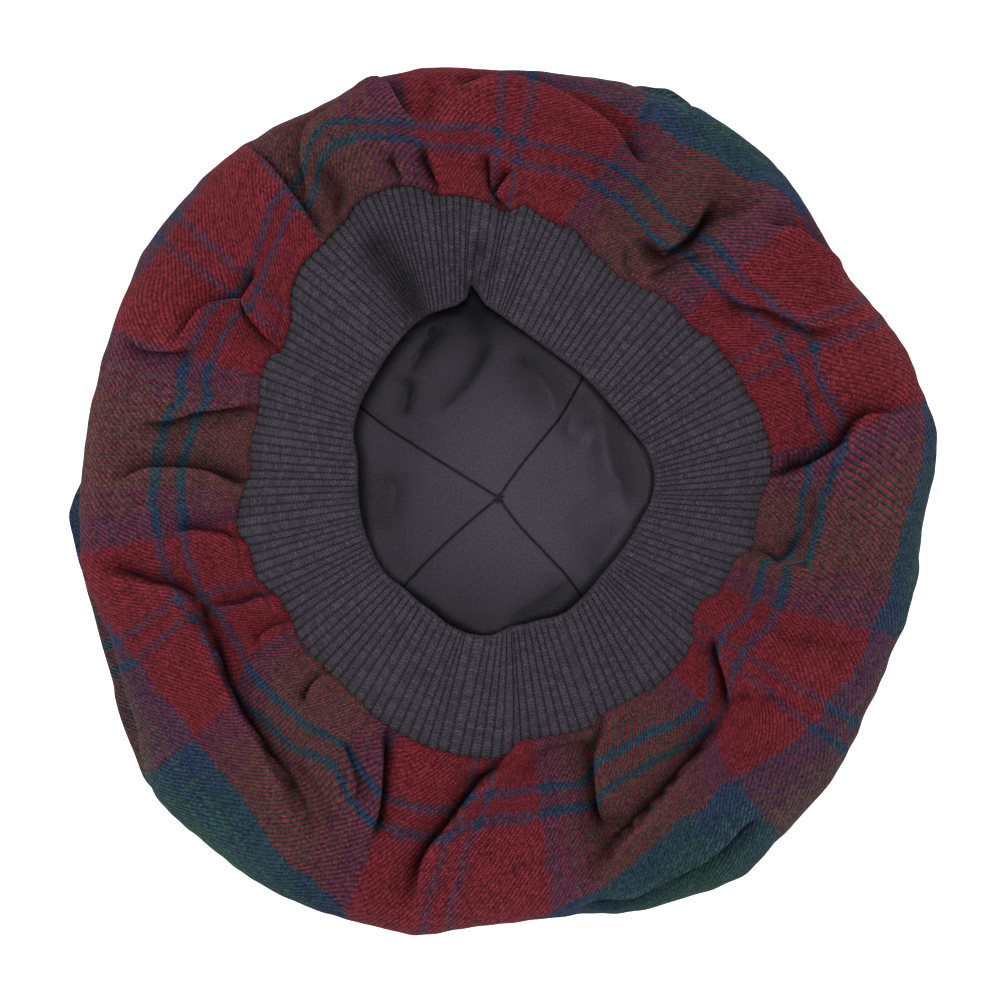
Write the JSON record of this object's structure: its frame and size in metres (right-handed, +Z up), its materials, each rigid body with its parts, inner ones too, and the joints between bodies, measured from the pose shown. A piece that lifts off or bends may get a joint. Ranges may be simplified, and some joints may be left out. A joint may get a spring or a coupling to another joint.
{
  "type": "tam o shanter",
  "caption": "Round soft tam o' shanter in red, navy and green tartan, lying on its crown with its ribbed knit band and lined head opening facing up.",
  "frame": {"origin": "bottom centre of the bounding box, on the crown's flat resting face", "axes": "+Z up, out of the head opening; the hat lies upside-down on its crown; -Y is the lower edge of the picture"},
  "size_m": [0.281, 0.2826, 0.0692],
  "materials": {
    "tartan_wool": "woven twill wool tartan",
    "lining_cotton": "plain woven cotton",
    "rib_knit": "one by one rib knit",
    "tack_thread": "sewing thread"
  },
  "bodies": {
    "root": {"crown_gore_1": "tartan_wool", "crown_gore_2": "tartan_wool", "crown_gore_3": "tartan_wool", "crown_gore_4": "tartan_wool", "crown_gore_5": "tartan_wool", "crown_gore_6": "tartan_wool", "lining_panel_1": "lining_cotton", "lining_panel_2": "lining_cotton", "lining_panel_3": "lining_cotton", "lining_panel_4": "lining_cotton", "lining_tack": "tack_thread", "rib_band": "rib_knit"}
  },
  "joints": []
}
